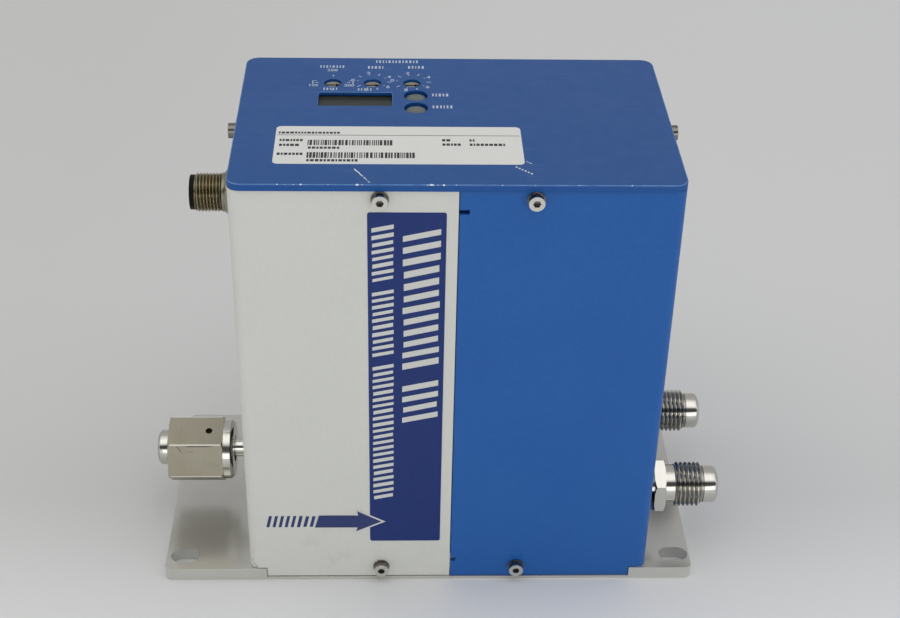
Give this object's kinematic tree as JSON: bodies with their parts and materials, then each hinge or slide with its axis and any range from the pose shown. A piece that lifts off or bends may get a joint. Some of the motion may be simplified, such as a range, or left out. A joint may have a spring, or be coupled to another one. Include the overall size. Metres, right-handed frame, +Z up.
{
  "type": "flow ratio controller",
  "caption": "Box-shaped gas flow ratio controller: slotted base plate, folded sheet covers, threaded inlet and outlets, round connector, lid with display and rotary switches.",
  "frame": {"origin": "underside of the base plate, below the centre of the housing", "axes": "+Z up, +X from the inlet side to the outlet side, -Y is the printed face"},
  "size_m": [0.181, 0.0854, 0.1451],
  "materials": {
    "plate_aluminium": "brushed, lightly handled",
    "bracket_aluminium": "plain sheet",
    "block_steel": "milled stainless steel",
    "bright_steel": "turned and polished stainless steel",
    "nut_steel": "silver-plated hexagon, slightly tarnished",
    "screw_steel": "stainless steel",
    "zinc_steel": "zinc-plated steel",
    "white_paint": "warm white powder coat, semi-matt",
    "blue_paint": "blue powder coat, semi-matt",
    "blue_paint_lid": "blue powder coat, semi-matt, fine scratches",
    "connector_nickel": "dull nickel over brass",
    "pin_brass": "gold-plated",
    "black_plastic": "matt",
    "seal_rubber": "matt",
    "sensor_plastic": "matt",
    "coil_plastic": "matt",
    "board_green": "solder mask",
    "display_dark": "unlit display",
    "lens_grey": "unlit diffuse lens",
    "switch_dark": "matt",
    "rotor_tan": "matt",
    "ribbon_grey": "matt",
    "label_white": "smooth film",
    "banner_navy": "printed film"
  },
  "bodies": {
    "controller": {"base_plate": "plate_aluminium", "block_screws": "zinc_steel", "manifold_block": "block_steel", "bypass_element_front": "bright_steel", "bypass_element_rear": "bright_steel", "bypass_plugs": "bright_steel", "gallery_plug": "bright_steel", "sensor_front": "sensor_plastic", "sensor_rear": "sensor_plastic", "valve_core_front": "bright_steel", "valve_core_rear": "bright_steel", "valve_coil_front": "coil_plastic", "valve_coil_rear": "coil_plastic", "valve_nuts": "zinc_steel", "manifold_screws": "zinc_steel", "port_seals": "seal_rubber", "inlet_fitting": "bright_steel", "outlet_fitting_front": "bright_steel", "outlet_fitting_rear": "bright_steel", "left_cover": "white_paint", "right_cover": "blue_paint", "lid": "blue_paint_lid", "cover_screws": "screw_steel", "lock_washers": "screw_steel", "connector_shell": "connector_nickel", "connector_seal": "seal_rubber", "connector_insert": "black_plastic", "connector_pins": "pin_brass", "connector_nut": "zinc_steel", "interface_board": "board_green", "lid_standoffs": "zinc_steel", "display_module": "display_dark", "indicator_lens_front": "lens_grey", "indicator_lens_rear": "lens_grey", "switch_case_left": "switch_dark", "switch_case_middle": "switch_dark", "switch_case_right": "switch_dark", "board_bracket": "bracket_aluminium", "bracket_standoffs": "zinc_steel", "main_board": "board_green", "board_screws": "zinc_steel", "ribbon_cable": "ribbon_grey", "connector_lead": "black_plastic", "top_label": "label_white", "front_banner": "banner_navy"},
    "nut": {"inlet_nut": "nut_steel"},
    "rotor_left": {"switch_rotor_left": "rotor_tan"},
    "rotor_middle": {"switch_rotor_middle": "rotor_tan"},
    "rotor_right": {"switch_rotor_right": "rotor_tan"},
    "plunger_front": {"valve_plunger_front": "bright_steel"},
    "plunger_rear": {"valve_plunger_rear": "bright_steel"}
  },
  "joints": [
    {"name": "inlet_nut_turn", "type": "hinge", "parent": "controller", "child": "nut", "pos_m": [-0.08, -0.005, 0.0252], "axis": [1, 0, 0], "continuous": true},
    {"name": "switch_left_turn", "type": "hinge", "parent": "controller", "child": "rotor_left", "pos_m": [-0.0362, 0.0225, 0.1405], "axis": [0, 0, 1], "continuous": true},
    {"name": "switch_middle_turn", "type": "hinge", "parent": "controller", "child": "rotor_middle", "pos_m": [-0.0242, 0.0225, 0.1405], "axis": [0, 0, 1], "continuous": true},
    {"name": "switch_right_turn", "type": "hinge", "parent": "controller", "child": "rotor_right", "pos_m": [-0.0122, 0.0225, 0.1405], "axis": [0, 0, 1], "continuous": true},
    {"name": "valve_front_lift", "type": "slide", "parent": "controller", "child": "plunger_front", "axis": [0, 0, 1], "range_m": [0, 0.0004], "stiffness_N_per_m": 200},
    {"name": "valve_rear_lift", "type": "slide", "parent": "controller", "child": "plunger_rear", "axis": [0, 0, 1], "range_m": [0, 0.0004], "stiffness_N_per_m": 200}
  ]
}
